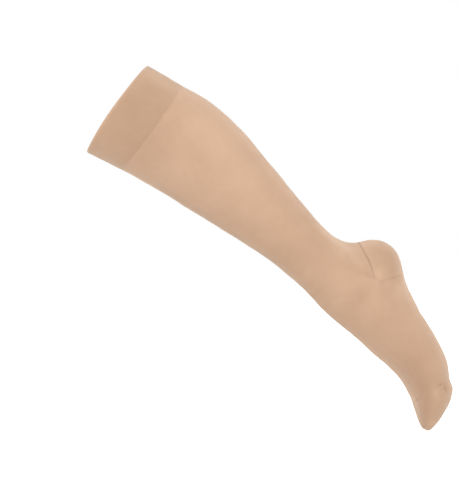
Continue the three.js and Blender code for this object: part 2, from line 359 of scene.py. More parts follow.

# %% Painted light and shade
# Painted highlights and painted shade: each place is painted brighter or darker for how the light falls
# there, as a highlight along the calf, shade along the shin and bright rims. Each place: its course,
# how far below it, its angle, its half length and half width, and how much brighter it is painted,
# darker where negative. The painted highlight on the fold of the top edge is wider than the tube is
# round, so it shows all the way round
PAINTED_LIGHT_AND_SHADE = (
    ("calf", 0.016, 240, 0.034, 0.022, 0.7),
    ("under_calf", 0.024, 252, 0.045, 0.016, 0.4),
    ("calf", 0.018, 272, 0.016, 0.014, -0.9),
    ("under_calf", -0.01, 340, 0.06, 0.009, -1.6),
    ("lower_shin", 0.0, 268, 0.05, 0.016, 0.5),
    ("lower_shin", -0.004, 208, 0.034, 0.012, 1.3),
    ("ankle", 0.01, 316, 0.02, 0.012, 0.7),
    ("calf", 0.022, 204, 0.06, 0.012, 0.6),
    ("top_edge", 0.0012, 0, 0.0016, 10.0, 2.0),
    ("band_foot", -0.022, 270, 0.026, 0.036, -1.6),
    ("band_foot", -0.022, 214, 0.03, 0.013, 1.6),
    ("band_foot", 0.013, 288, 0.022, 0.036, -1.2),
    ("ankle_fold", 0.012, 272, 0.017, 0.018, 0.9),
    ("above_heel", 0.004, 320, 0.024, 0.012, -0.5),
    ("above_heel", 0.006, 247, 0.009, 0.009, 1.3),
    ("heel_under", -0.003, 226, 0.02, 0.016, -1.1),
    ("heel_top", 0.007, 262, 0.007, 0.005, 0.8),
    ("heel_front", 0.01, 318, 0.018, 0.012, -0.7),
    ("heel_front", -0.002, 296, 0.012, 0.014, -1.4),
    ("heel_front", 0.003, 256, 0.007, 0.007, 1.0),
    ("arch", 0.006, 258, 0.018, 0.014, 0.5),
    ("arch", -0.003, 236, 0.012, 0.01, 1.3),
    ("forefoot", 0.0, 226, 0.04, 0.014, 0.6),
    ("toe_joint", -0.004, 222, 0.014, 0.012, 0.6),
    ("toe_joint", 0.001, 284, 0.034, 0.016, -1.2),
    ("toe_line", 0.0062, 261, 0.009, 0.0085, 1.2),
    ("toe_line", 0.0055, 231, 0.005, 0.0022, -0.6),
    ("toe_line", 0.005, 339, 0.017, 0.0105, 3.2),
    ("near_tip", 0.0, 270, 0.014, 0.02, 0.4),
    ("above_heel", -0.012, 206, 0.03, 0.014, 1.9),
    ("heel_back", 0.0, 202, 0.012, 0.014, 1.4),
    ("arch", -0.004, 211, 0.024, 0.012, 2.0),
    ("ankle", 0.004, 203, 0.022, 0.013, 1.4),
    ("ankle_fold", 0.008, 228, 0.016, 0.012, 1.8),
    ("calf", 0.02, 118, 0.04, 0.026, 0.8),
    ("shin_middle", 0.01, 98, 0.05, 0.016, 0.6),
    ("ankle_fold", 0.008, 86, 0.016, 0.018, 0.8),
    ("arch", 0.01, 104, 0.02, 0.016, 0.8),
    ("toe_joint", -0.002, 72, 0.03, 0.016, -1.0),
    ("toe_line", 0.006, 106, 0.007, 0.006, 0.8),
)
# How much brighter the cloth is painted for each metre that it stands out: painted light where it stands
# out and painted shade in its dips
RELIEF_PAINTED_LIGHT = 750


def painted_light_at(distance, angle):
    """How much painted light each point gets: brighter than the knit all round, or painted shade where
    negative, where 1 is plainly brighter.
    """
    # Painted light on the raised cloth and painted shade in its dips
    pale = RELIEF_PAINTED_LIGHT * unevenness(distance, angle)
    # Each listed place adds its painted highlight or painted shade
    for course, below, middle, half_length, half_width, amount in PAINTED_LIGHT_AND_SHADE:
        turn, down = from_place(distance, angle, course, below, middle)
        around = turn / 360 * girth_at(course) / half_width
        pale += amount * np.exp(-around ** 2 - (down / half_length) ** 2)
    return pale


print(len(PAINTED_LIGHT_AND_SHADE), "places are paler or darker")

# %% [markdown]
# ## From rows of stitches to a wall of cloth
# A piece of knit is a sheet with two faces, and its edge shows as a small roll between them. So a
# piece is made as a grid of rows and lines, once as the outer face and once as the inner, and
# wherever the next cell of the grid isn't its own, an arc of points closes the wall. Solidify and
# Bevel could do it too, but here each edge has its own roll: a full round where the band is folded,
# and a small one where two pieces meet. Each face also notes where it lies in the knit, counted in
# lines and rows of stitches, so that the stitches of the finish follow the tube.

# %% A mesh of knit
WALES_ROUND = 400
STITCH_LENGTH = 0.00045
RELAXED_WALE = 0.00052


def note(mesh, label, values):
    """Writes a number for each point of the mesh, under a name that the finish reads."""
    mesh.attributes.new(label, "FLOAT", "POINT").data.foreach_set("value", np.array(values, np.float32))


class Knit:
    """A mesh being made: its points, its faces, and where each corner of a face lies in the knit."""

    def __init__(self):
        self.points = []
        self.notes = {"stretch": [], "inside": [], "paler": []}
        self.faces = []
        self.maps = []
        self.count = 0

    def add_points(self, points, stretch, inside, paler=0.0):
        """Takes the points in and returns their numbers, in the same arrangement."""
        shape = points.shape[:-1]
        size = int(np.prod(shape))
        self.points.append(points.reshape(-1, 3))
        for label, values in (("stretch", stretch), ("inside", inside), ("paler", paler)):
            self.notes[label].append(np.broadcast_to(values, shape).reshape(-1))
        self.count += size
        return (self.count - size + np.arange(size)).reshape(shape)

    def add_faces(self, corners, places):
        """Each face is a tuple's worth of corner numbers, with a place in the knit for each."""
        self.faces.append(np.stack(corners, axis=-1).reshape(-1, len(corners)))
        self.maps.append(np.stack(places, axis=-2).reshape(-1, 2))

    def to_object(self, name):
        """Makes the Blender object, without the points that no face uses."""
        used, numbers = np.unique(np.concatenate([f.ravel() for f in self.faces]), return_inverse=True)
        faces = []
        at = 0
        for group in self.faces:
            faces += numbers[at:at + group.size].reshape(group.shape).tolist()
            at += group.size
        mesh = bpy.data.meshes.new(name)
        mesh.from_pydata(np.concatenate(self.points)[used].tolist(), [], faces)
        mesh.uv_layers.new(name="knit").data.foreach_set("uv", np.concatenate(self.maps).ravel())
        for label, values in self.notes.items():
            note(mesh, label, np.concatenate(values)[used])
        mesh.polygons.foreach_set("use_smooth", np.ones(len(faces), bool))
        mesh.update()
        print(name, "has", sum(len(face) - 2 for face in faces), "triangles")
        return add_object(name, mesh)


print("one wale is", round(1000 * girth_at("calf") / WALES_ROUND, 2), "mm wide at the calf and",
      1000 * RELAXED_WALE, "mm at rest")

# %% The sides where a piece ends
def free_sides(owned, closed):
    """Sides of the piece's cells with no cell of its own beyond, as grid places of both corners."""
    rows, lines = owned.shape
    framed = np.pad(owned, 1)
    if closed:
        framed[1:-1, 0] = owned[:, -1]
        framed[1:-1, -1] = owned[:, 0]
    sides = []
    for down, across, first, second in (
        (-1, 0, (0, 1), (0, 0)),
        (1, 0, (1, 0), (1, 1)),
        (0, -1, (0, 0), (1, 0)),
        (0, 1, (1, 1), (0, 1)),
    ):
        beyond = framed[1 + down:rows + 1 + down, 1 + across:lines + 1 + across]
        row, line = np.nonzero(owned & ~beyond)
        sides.append(np.stack([row + first[0], line + first[1], row + second[0], line + second[1]]))
    return np.concatenate(sides, axis=1)


print("a cell on its own has", free_sides(np.ones((1, 1), bool), False).shape[1], "free sides")

# %% The rolled edges
ROLL_ANGLES = np.radians([30, 60, 90, 90, 120, 150])


def roll_edges(knit, skins, sides, outer, out, wall, rolls, stretch, paler, place):
    """Closes the wall along the free sides, with an arc at the outer face and one at the inner."""
    lines = outer.shape[1]
    row_a, line_a, row_b, line_b = sides
    at_a, at_b = (row_a, line_a % lines), (row_b, line_b % lines)
    away = np.zeros_like(outer)
    beyond = unit(np.cross(out[at_a] + out[at_b], outer[at_b] - outer[at_a]))
    np.add.at(away, at_a, beyond)
    np.add.at(away, at_b, beyond)
    away = unit(away)
    rolls = rolls[..., None]
    rings = [skins[0]]
    for step, turn in enumerate(ROLL_ANGLES):
        is_inner = step >= len(ROLL_ANGLES) / 2
        sunk = wall - rolls if is_inner else rolls
        arc = outer + out * (rolls * math.cos(turn) - sunk) + away * (rolls * math.sin(turn))
        rings.append(knit.add_points(arc, stretch, is_inner, paler))
    rings.append(skins[1])
    for step, (above, below) in enumerate(zip(rings, rings[1:])):
        knit.add_faces(
            [above[at_a], above[at_b], below[at_b], below[at_a]],
            [place(row_a, line_a, step), place(row_b, line_b, step),
             place(row_b, line_b, step + 1), place(row_a, line_a, step + 1)],
        )


print("an edge is rolled in", len(ROLL_ANGLES), "steps")

# %% The closed end of the toe
DOME_STEPS = 6
STITCHES_A_STEP = 2


def close_toe(knit, skins, outer, inner, dome, place):
    """Closes both faces over the last row, which shrinks to a point as it swells."""
    rows, lines = outer.shape[:2]
    line = np.arange(lines)
    last = np.full(lines, rows - 1)
    swell = unit((outer[-1] - outer[-2]).mean(axis=0)) * dome
    for face, points, below in ((0, outer[-1], skins[0][-1]), (1, inner[-1], skins[1][-1])):
        middle = points.mean(axis=0)
        turned = slice(None, None, -1 if face else 1)
        for step in range(1, DOME_STEPS + 1):
            further = -STITCHES_A_STEP * step
            nearer = further + STITCHES_A_STEP
            if step < DOME_STEPS:
                lean = step / DOME_STEPS * math.pi / 2
                ring = middle + (points - middle) * math.cos(lean) + swell * math.sin(lean)
                above = knit.add_points(ring, stretch=1.0, inside=face)
            else:
                hub = knit.add_points((middle + swell)[None], stretch=1.0, inside=face)
                above = np.repeat(hub, lines)
            corners = [below, np.roll(below, -1), np.roll(above, -1), above]
            places = [place(last, line, nearer), place(last, line + 1, nearer),
                      place(last, line + 1, further), place(last, line, further)]
            if step == DOME_STEPS:
                del corners[2], places[2]
            knit.add_faces(corners[turned], places[turned])
            below = above


print("the toe is closed in", DOME_STEPS, "rings")

# %% How far each point is from a seam
def note_seams(piece, edge, dark):
    """Writes how far each point is from the nearest seam, and how much painted shade that seam's groove
    gets there.
    """
    tree = KDTree(len(edge))
    for number, point in enumerate(edge):
        tree.insert(point, number)
    tree.balance()
    found = [tree.find(vertex.co) for vertex in piece.data.vertices]
    note(piece.data, "from_seam", [away for _, _, away in found])
    note(piece.data, "seam_dark", [dark[nearest] for _, nearest, _ in found])


print("the seam round the toe is", round(1000 * girth_at("toe_line")), "mm long")

# %% A wall of cloth
LAST_ROLL = 0.49


def cloth_wall(name, on_lines, distance, first_row, wall, proud, rolls, dark, angle=None, owned=None,
               dome=0.0):
    """A closed wall of knit over the cells that are its own, as a Blender object.

    The grid has the given lines of stitches, with rows at these distances from the top edge, and
    its rows of stitches count from the distance of the first row. Proud is how far the outer face
    stands out of the plain knit's, rolls is the radius of the edges and dark how dark the seam is,
    each a number for all or an array. Angles replace the lines' own where they bend, owned says
    which cells are there if not all are, and a dome closes the end of the toe."""
    knit = Knit()
    rows, lines = distance.shape
    closed = lines == ROUND
    if angle is None:
        angle = np.tile(line_angles[on_lines], (rows, 1))
    if owned is None:
        owned = np.ones((rows - 1, lines if closed else lines - 1), bool)
    course = courses_of(distance, on_lines)
    round_it, _, out = slopes(course, angle)
    outer = cloth(course, angle) + out * (proud + unevenness(distance, angle))[..., None]
    rolls = np.broadcast_to(np.minimum(rolls, LAST_ROLL * wall), course.shape)
    # How much painted shade the groove beside each seam gets
    dark = np.broadcast_to(dark, course.shape)
    stretch = np.linalg.norm(round_it, axis=-1) * 2 * math.pi / WALES_ROUND / RELAXED_WALE
    paler = painted_light_at(distance, angle)
    inner = outer - out * wall
    skins = [knit.add_points(points, stretch, face, paler) for face, points in enumerate((outer, inner))]

    def place(row, line, further=0.0):
        """Where a grid point lies in the knit, in lines and rows of stitches."""
        laps = line // lines
        wale = angle[row, line % lines] / (2 * math.pi) + laps
        down = (distance - first_row)[row, line % lines] / STITCH_LENGTH
        return np.stack([wale * WALES_ROUND, down - further], axis=-1)

    row, line = np.nonzero(owned)
    for skin, corners in (
        (skins[0], ((0, 0), (0, 1), (1, 1), (1, 0))),
        (skins[1], ((0, 0), (1, 0), (1, 1), (0, 1))),
    ):
        knit.add_faces(
            [skin[row + down, (line + across) % lines] for down, across in corners],
            [place(row + down, line + across) for down, across in corners],
        )
    sides = free_sides(owned, closed)
    if dome:
        sides = sides[:, sides[0] + sides[2] < 2 * (rows - 1)]
        close_toe(knit, skins, outer, inner, dome, place)
    roll_edges(knit, skins, sides, outer, out, wall, rolls, stretch, paler, place)
    piece = knit.to_object(name)
    at_edge = (sides[0], sides[1] % lines)
    note_seams(piece, outer[at_edge], dark[at_edge])
    return piece


print("an edge rolls over", 2 * LAST_ROLL, "of its wall at most")

# %% [markdown]
# ## The lines where the pieces meet
# The band, the toe cap and the heel pocket are knitted on, not sewn on, so each ends on a row of
# stitches, and its neighbour starts there. Every piece stops a hair short of that row, by its own
# roll, which leaves the fine groove that shows in the photograph. The pocket's front end is no
# sharp corner: its short rows turn round there, so the lines of the grid bend round a small nose.

# %% Rows between two seams
ROW_APART = 0.0024
CLOSE_ROW = 0.0004
HALF_GAP = 0.00006
LEAST_SQUARE = 0.4

all_lines = np.arange(ROUND)
back_lines = np.arange(BACK_FROM, BACK_TO + 1)


def stop_short(name, lines, roll, gap=HALF_GAP):
    """How far before a seam each line ends, so that the roll's edge lies squarely beside it."""
    ring = np.full(len(lines), float(NUMBER[name]))
    round_it, down_it, _ = slopes(ring, line_angles[lines])
    square = np.linalg.norm(np.cross(unit(round_it), unit(down_it)), axis=-1)
    return (roll + gap) / np.maximum(square, LEAST_SQUARE)


def rows_between(start, end, apart=ROW_APART):
    """Distances of the rows from one edge to the other, with a close row beside each edge."""
    steps = math.ceil(float((end - start).max()) / apart)
    inner = np.linspace(start + CLOSE_ROW, end - CLOSE_ROW, steps + 1)
    return np.vstack([start[None], inner, end[None]])


print("rows of the leg's mesh are up to", 1000 * ROW_APART, "mm apart, and", 1000 * CLOSE_ROW, "at an edge")

# %% How much painted shade each seam gets
# Painted shade in the seam grooves: the seams of the photograph are dark in places and fade out in
# others, so the knit beside each seam is painted darker by its own amount. Each pair below is an
# angle in degrees, from 180 at the back round the near side, and how much painted shade the seam
# gets there
HEEL_TOP_SHADE = ((180, 0.3), (198, 0.45), (245, 0.35), (258, 0.08), (280, 0.0))
HEEL_FRONT_SHADE = ((180, 0.0), (205, 0.0), (226, 0.2), (246, 0.16), (258, 0.0), (280, 0.0))
TOE_LINE_SHADE = ((180, 0.2), (210, 0.1), (234, 0.1), (239, 0.4), (247, 0.4), (251, 0.1), (285, 0.0),
                 (322, 0.3), (340, 0.1), (360, 0.0))


def seam_shade_at(marks, angle):
    """How much painted shade a seam's groove gets at each angle. The far side is marked like the near one.
    """
    degrees = np.degrees(angle) % 360
    folded = np.where(degrees < 180, 360 - degrees, degrees)
    return np.interp(folded, *zip(*marks))


def heel_seam_shade(share, angle):
    """The painted shade of the pocket's seams: from its top seam to the one below it, a share of the way
    down its side.
    """
    return seam_shade_at(HEEL_TOP_SHADE, angle) * (1 - share) + seam_shade_at(HEEL_FRONT_SHADE, angle) * share


print("the pocket's top seam is", seam_shade_at(HEEL_TOP_SHADE, math.pi), "dark at the very back")

# %% The nose of the heel pocket
NOSE = 0.0032
NOSE_LINES = 10
NOSE_FADE = 0.012

round_side, _, _ = slopes(np.array([float(NUMBER["heel_point"])]), np.array([math.pi / 2]))
SIDE_REACH = float(np.linalg.norm(round_side))


def nose_at(share):
    """How far back the pocket's end lies from its tip, a share of the way down that end."""
    return NOSE * (1 - np.sqrt(np.maximum(1 - (2 * share - 1) ** 2, 0)))


def bent_angles(lines, shift):
    """The lines' angles on each row, bent backwards by the row's shift near the pocket's ends."""
    angles = np.tile(line_angles[lines], (len(shift), 1))
    for end, way in ((BACK_FROM, 1), (BACK_TO, -1)):
        angles += way * shift[:, None] / SIDE_REACH * fade_out((lines - end) / NOSE_LINES)
    return angles


pocket_height = 1000 * (tape_at("heel_front") - tape_at("heel_top"))
print("the pocket is", round(pocket_height[BACK_FROM]), "mm high at its side and",
      round(pocket_height[ROUND // 2]), "mm at its back")

# %% [markdown]
# ## The plain knit
# Leg and foot are one tube of the same fine knit. It is the only piece with a hole in it: at the
# back of the ankle it stops at the heel pocket and goes on below, with just the front half of the
# tube beside the pocket. The CAD part cuts this tube into four lengths for its collision pieces, and
# this piece stands for them all without a join.

# %% The leg and foot
PLAIN_WALL = 0.0012
PLAIN_ROLL = 0.00004
PLAIN_GAP = 0.00002
HEEL_ROLL = 0.00018
TOE_ROLL = 0.0001
TAPER_LINES = 6
STRAP_ROW_APART = 0.0036


def leg_and_foot():
    beside = np.maximum(BACK_FROM - all_lines, all_lines - BACK_TO)
    held_back = fade_out(np.maximum(beside, 0) / TAPER_LINES)
    start = tape_at("band_foot") + stop_short("band_foot", all_lines, PLAIN_ROLL, PLAIN_GAP)
    above = tape_at("heel_top") - stop_short("heel_top", all_lines, HEEL_ROLL) * held_back
    below = tape_at("heel_front") + stop_short("heel_front", all_lines, HEEL_ROLL) * held_back
    end = tape_at("toe_line") - stop_short("toe_line", all_lines, TOE_ROLL)
    leg = rows_between(start, above)
    strap = rows_between(above, below, STRAP_ROW_APART)
    foot = rows_between(below, end)
    distances = np.vstack([leg[:-1], strap, foot[1:]])
    first, last = len(leg) - 1, len(leg) + len(strap) - 2
    side = distances[:, BACK_FROM]
    share = np.clip((side - side[first]) / (side[last] - side[first]), 0, 1)
    away = np.maximum(side[first] - side, side - side[last])
    shift = (nose_at(share) - HEEL_ROLL - HALF_GAP) * fade_out(np.maximum(away, 0) / NOSE_FADE)
    owned = np.ones((len(distances) - 1, ROUND), bool)
    owned[first:last, BACK_FROM:BACK_TO] = False
    angle = bent_angles(all_lines, shift)
    rolls = np.full((len(distances), 1), HEEL_ROLL)
    rolls[0] = PLAIN_ROLL
    rolls[-1] = TOE_ROLL
    # Painted shade beside the pocket's seams and the toe seam, and none at the band's foot
    dark = heel_seam_shade(share[:, None], angle)
    dark[0] = 0
    dark[-1] = seam_shade_at(TOE_LINE_SHADE, angle[-1])
    return cloth_wall("leg_and_foot", all_lines, distances, tape_at("band_foot"), PLAIN_WALL, 0,
                      rolls, dark, angle, owned)


plain_knit = leg_and_foot()

# %% [markdown]
# ## The top band
# The band is knitted twice as long as it shows, folded in half and linked to the leg inside, so it
# is double cloth with a full round fold at the top. It grips by its stretch alone. Its lower edge
# is only a change of knit, so it meets the leg with hardly any roll.

# %% The band
BAND_WALL = 0.0022
PROUD = 0.0003
BAND_ROW_APART = 0.0012
BAND_FADE = 0.007
# Each wave of the top edge: how often it goes round, its start and its height
EDGE_WAVES = ((2, 0.7, 0.00035), (3, 2.9, 0.0002), (5, 5.1, 0.00012))


def proud_from(share):
    """How far a piece stands out, from nothing at its seam to all of it at a share of 1."""
    return PROUD * np.sin(np.clip(share, 0, 1) * math.pi / 2)


def top_band():
    fold = LAST_ROLL * BAND_WALL
    start = np.full(ROUND, fold)
    for times_round, begin, size in EDGE_WAVES:
        start += size * (1 + np.sin(times_round * line_angles + begin))
    end = tape_at("band_foot") - stop_short("band_foot", all_lines, PLAIN_ROLL, PLAIN_GAP)
    distances = rows_between(start, end, BAND_ROW_APART)
    rolls = np.full((len(distances), 1), PLAIN_ROLL)
    rolls[0] = fold
    return cloth_wall("top_band_cloth", all_lines, distances, tape_at("band_foot"), BAND_WALL,
                      proud_from((end - distances) / BAND_FADE), rolls, 0)


band = top_band()

# %% [markdown]
# ## The heel pocket
# A heel needs more cloth behind than in front. The machine knits rows to and fro on the back half
# alone, each shorter than the last and then each longer, and that makes a pocket. Its yarn is
# thicker, so it stands a little proud. Its wedge comes to a blunt nose at each side of the ankle.

# %% The pocket
PADDED_WALL = 0.0016
POCKET_ROW_APART = 0.002


def pocket_grid(roll, gap=HALF_GAP):
    """Angles and distances of the pocket's grid, which stops short of its seam, and the share of
    the way down its side that each row lies at."""
    short = (stop_short("heel_top", back_lines, roll), stop_short("heel_front", back_lines, roll))
    ratio = (roll + gap) / (roll + HALF_GAP)
    start = tape_at("heel_top")[back_lines] + short[0] * ratio
    end = tape_at("heel_front")[back_lines] - short[1] * ratio
    distances = rows_between(start, end, POCKET_ROW_APART)
    side = distances[:, 0]
    share = (side - side[0]) / (side[-1] - side[0])
    shift = nose_at(share) + roll + gap
    return bent_angles(back_lines, shift), distances, share[:, None]


def heel_pocket():
    angle, distances, share = pocket_grid(HEEL_ROLL)
    return cloth_wall("heel_pocket_cloth", back_lines, distances, tape_at("heel_top")[back_lines],
                      PADDED_WALL, PROUD, HEEL_ROLL, heel_seam_shade(share, angle), angle)


pocket = heel_pocket()

# %% [markdown]
# ## The toe cap
# The cap is the same denser knit, narrowed row by row and closed at the end, so its lines of
# stitches run together at the tip. A small dome closes what is left of the ring.

# %% The cap
TOE_ROW_APART = 0.0014
TOE_DOME = 0.0014
TOE_FADE = 0.006


def toe_cap():
    start = tape_at("toe_line") + stop_short("toe_line", all_lines, TOE_ROLL)
    distances = rows_between(start, tape_at("tip"), TOE_ROW_APART)
    return cloth_wall("toe_cap_cloth", all_lines, distances, tape_at("toe_line"), PADDED_WALL,
                      proud_from((distances - start) / TOE_FADE), TOE_ROLL,
                      seam_shade_at(TOE_LINE_SHADE, line_angles), dome=TOE_DOME)


cap = toe_cap()

# %% [markdown]
# ## Linking stitches
# Where two knits meet, a linking machine or the needles themselves leave a row of short, slanted
# loops. They are just over a millimetre long, so each is only a bent bead of thread with six sides,
# and one function sets a whole row of them along a seam, across its groove, with their ends in the
# cloth. An array modifier on a curve would do it too, but it would lean the stitches by the curve's
# tilt and not by the cloth. Inside the band a row of longer beads stands for the hem's stitches.

# %% A row of stitches
STITCH_SECTIONS = 5
STITCH_SIDES = 6
STITCH_BOW = 1.5
STITCH_BLUNT = 1.05


def spaced_path(course, angle, apart):
    """The path again, as points of even spacing."""
    points = cloth(course, angle)
    run = np.concatenate([[0], np.cumsum(np.linalg.norm(np.diff(points, axis=0), axis=1))])
    at = np.arange(apart / 2, run[-1], apart)
    return np.interp(at, run, course), np.interp(at, run, angle)


def stitch_row(name, course, angle, apart, length, thread, sunk, lean_degrees):
    """Short threads across a seam, each leaning the same way, as one object."""
    course, angle = spaced_path(course, angle, apart)
    points = cloth(course, angle)
    _, _, out = slopes(course, angle)
    along = unit(np.gradient(points, axis=0))
    across = unit(np.cross(out, along))
    lean = math.radians(lean_degrees)
    run = math.cos(lean) * across + math.sin(lean) * along
    beside = unit(np.cross(run, out))
    shares = np.linspace(-1, 1, STITCH_SECTIONS)
    turns = np.arange(STITCH_SIDES) / STITCH_SIDES * 2 * math.pi
    height = -sunk - thread * shares ** 2 * STITCH_BOW
    radius = thread * np.sqrt(STITCH_BLUNT - shares ** 2)
    spine = (points[:, None] + run[:, None] * (shares * length / 2)[None, :, None]
             + out[:, None] * height[None, :, None])
    ring = (np.cos(turns)[None, None, :, None] * out[:, None, None]
            + np.sin(turns)[None, None, :, None] * beside[:, None, None])
    knit = Knit()
    surface = spine[:, :, None] + radius[None, :, None, None] * ring
    numbers = knit.add_points(surface, stretch=1.0, inside=0)
    upper, lower = numbers[:, :-1], numbers[:, 1:]
    nowhere = np.zeros(upper.shape + (2,))
    knit.add_faces([upper, np.roll(upper, -1, axis=2), np.roll(lower, -1, axis=2), lower], [nowhere] * 4)
    for end, way in ((0, -1), (-1, 1)):
        corners = [numbers[:, end, side] for side in range(STITCH_SIDES)][::way]
        knit.add_faces(corners, [np.zeros((len(points), 2))] * STITCH_SIDES)
    return knit.to_object(name)


print("a stitch is", STITCH_SECTIONS, "rings of", STITCH_SIDES, "points")

# %% Stitches round the seams
# Each kind of stitch: how far apart it comes, its length, the radius of its thread and how deep it
# is sunk in the cloth, in metres, and by how many degrees it leans
LINKING = (0.00062, 0.0013, 0.00017, 0.0, 24)
HEM = (0.0011, 0.0024, 0.0002, 0.0017, 38)
CLOSING = (0.0008, 0.0016, 0.0002, -0.0004, 30)


def seam_ring(name):
    return np.full(ROUND + 1, float(NUMBER[name])), np.linspace(0, 2 * math.pi, ROUND + 1)


def pocket_outline():
    """The pocket's seam, once round: along its top, down one nose, back below and up the other."""
    angle, distances, _ = pocket_grid(0, 0)
    rounds = [
        (grid[0, :-1], grid[:-1, -1], grid[-1, :0:-1], grid[:0:-1, 0], grid[:1, 0])
        for grid in (courses_of(distances, back_lines), angle)
    ]
    return tuple(np.concatenate(sides) for sides in rounds)


heel_stitches = stitch_row("heel_linking", *pocket_outline(), *LINKING)
toe_stitches = stitch_row("toe_linking", *seam_ring("toe_line"), *LINKING)
hem_stitches = stitch_row("band_linking", *seam_ring("band_foot"), *HEM)

# %% The seam that closes the toe
CLOSING_REACH = 74
CLOSING_POINTS = 60
CLOSING_DIP = 0.4

closing_angles = np.radians(np.linspace(-CLOSING_REACH, CLOSING_REACH, CLOSING_POINTS))
closing_course = NUMBER["toe_end"] + CLOSING_DIP * (1 - np.cos(closing_angles))
closing_stitches = stitch_row("toe_closing", closing_course, closing_angles, *CLOSING)

# %% [markdown]
# ## The finish of the knit
# Close to, a knit is rows of little V shapes in ridges that run down the tube, matt, with a bloom of
# light at its edges where the fibres stand up. Every piece needs that, at its own gauge, so it is
# one node group that turns a place in the knit into a height and a painted shade between the threads.
# A second group tints the yarn: brighter where the knit is stretched, painted shade in the grooves
# beside the seams, darker on the inside, painted light and shade on the relief and at the listed
# places, and a little uneven all over, in its roughness too. Only these numbers change over the
# surface. The sheen is the same all over, so it stays on the shader.

# %% Helpers for node groups
WHITE = (1, 1, 1, 1)
BLACK = (0, 0, 0, 1)
SOCKETS = {float: "NodeSocketFloat", tuple: "NodeSocketColor", Vector: "NodeSocketVector"}
# Where the Mix node has its sockets for colours
COLOUR_A = 6
COLOUR_B = 7
COLOUR_MIXED = 2


def new_group(name, inputs, outputs):
    """A node group with sockets of the kinds of the values given, which are the inputs' defaults."""
    group = bpy.data.node_groups.new(name, "ShaderNodeTree")
    for side, sockets in (("INPUT", inputs), ("OUTPUT", outputs)):
        for label, value in sockets.items():
            socket = group.interface.new_socket(label, in_out=side, socket_type=SOCKETS[type(value)])
            socket.default_value = value
    return group, group.nodes.new("NodeGroupInput").outputs, group.nodes.new("NodeGroupOutput").inputs


def feed(tree, socket, value):
    """Links a socket to an input, or sets the input to a plain value."""
    if isinstance(value, bpy.types.NodeSocket):
        tree.links.new(value, socket)
    else:
        socket.default_value = value


def maths(tree, operation, *values):
    node = tree.nodes.new("ShaderNodeMath")
    node.operation = operation
    for socket, value in zip(node.inputs, values):
        feed(tree, socket, value)
    return node.outputs[0]


def mixed(tree, share, first, second):
    node = tree.nodes.new("ShaderNodeMix")
    node.data_type = "RGBA"
    feed(tree, node.inputs["Factor"], share)
    feed(tree, node.inputs[COLOUR_A], first)
    feed(tree, node.inputs[COLOUR_B], second)
    return node.outputs[COLOUR_MIXED]


def noise(tree, scale, detail, where):
    node = tree.nodes.new("ShaderNodeTexNoise")
    feed(tree, node.inputs["Vector"], where)
    node.inputs["Scale"].default_value = scale
    node.inputs["Detail"].default_value = detail
    return node.outputs["Fac"]


def ranged(tree, value, low, high, to_low, to_high):
    node = tree.nodes.new("ShaderNodeMapRange")
    feed(tree, node.inputs["Value"], value)
    for label, number in (("From Min", low), ("From Max", high), ("To Min", to_low), ("To Max", to_high)):
        feed(tree, node.inputs[label], number)
    return node.outputs["Result"]


def parts_of(tree, vector):
    node = tree.nodes.new("ShaderNodeSeparateXYZ")
    feed(tree, node.inputs[0], vector)
    return node.outputs


def for_camera(tree, in_light, seen):
    """One value for the light that a thing gives, and another for how it looks to the camera."""
    is_seen = tree.nodes.new("ShaderNodeLightPath").outputs["Is Camera Ray"]
    return ranged(tree, is_seen, 0.0, 1.0, in_light, seen)


def start_material(name):
    """A new material, its nodes, and where each point lies on its piece."""
    material = bpy.data.materials.new(name)
    material.use_nodes = True
    tree = material.node_tree
    return material, tree, tree.nodes.new("ShaderNodeTexCoord").outputs["Object"]


def set_shader(tree, look):
    for label, value in look.items():
        feed(tree, tree.nodes["Principled BSDF"].inputs[label], value)


print("kinds of socket:", ", ".join(SOCKETS.values()))

# %% Knit loops
LOOP_SLANT = 0.5
LEG_SHARE = 0.55


def knit_loops_group():
    group, given, made = new_group(
        "Knit loops",
        inputs={"Place": Vector(), "Wales": 1.0, "Rows": 1.0},
        outputs={"Height": 0.0, "Gap": 0.0},
    )
    place = parts_of(group, given["Place"])
    across = maths(group, "FRACT", maths(group, "MULTIPLY", place["X"], given["Wales"]))
    from_middle = maths(group, "ABSOLUTE", maths(group, "MULTIPLY_ADD", across, 2.0, -1.0))
    row = maths(group, "MULTIPLY", place["Y"], given["Rows"])
    slanted = maths(group, "MULTIPLY_ADD", from_middle, LOOP_SLANT, row)
    down = maths(group, "FRACT", slanted)
    leg = maths(group, "SINE", maths(group, "MULTIPLY", from_middle, math.pi))
    loop = maths(group, "SINE", maths(group, "MULTIPLY", down, math.pi))
    from_loop = maths(group, "MULTIPLY", loop, 1 - LEG_SHARE)
    feed(group, made["Height"], maths(group, "MULTIPLY_ADD", leg, LEG_SHARE, from_loop))
    # Where the threads leave a gap, which the tint paints darker as painted shade between the threads
    open_leg = maths(group, "SUBTRACT", 1.0, leg)
    open_loop = maths(group, "SUBTRACT", 1.0, loop)
    feed(group, made["Gap"], maths(group, "MULTIPLY", open_leg, open_loop))
    return group


KNIT_LOOPS = knit_loops_group()
print("node group:", KNIT_LOOPS.name)

# %% Yarn tint
FULL_STRETCH = 1.7
# How far from a seam its painted shade reaches, and how dark the painted shade is at the seam
GROOVE_REACH = 0.0012
GROOVE_SHADE = 0.6
# The colour that painted highlights mix towards
PAINTED_HIGHLIGHT = (0.95, 0.72, 0.54, 1)
# How much darker the yarn is on the inner face, how much painted shade lies between the threads, and how
# much the painted light makes it brighter, as a negative share
SHADES = {"Inside": 0.22, "Gap": 0.55, "Paler": -0.13}
# Each unevenness of the yarn: how fine its noise is, how detailed, and how much it darkens
UNEVEN = ((24.0, 3.0, 0.06), (110.0, 2.0, 0.045))
FLECK = (1300.0, 2.0, 0.10)
ROUGHNESS = (0.78, 0.92)
NOISE_RANGE = (0.3, 0.7)


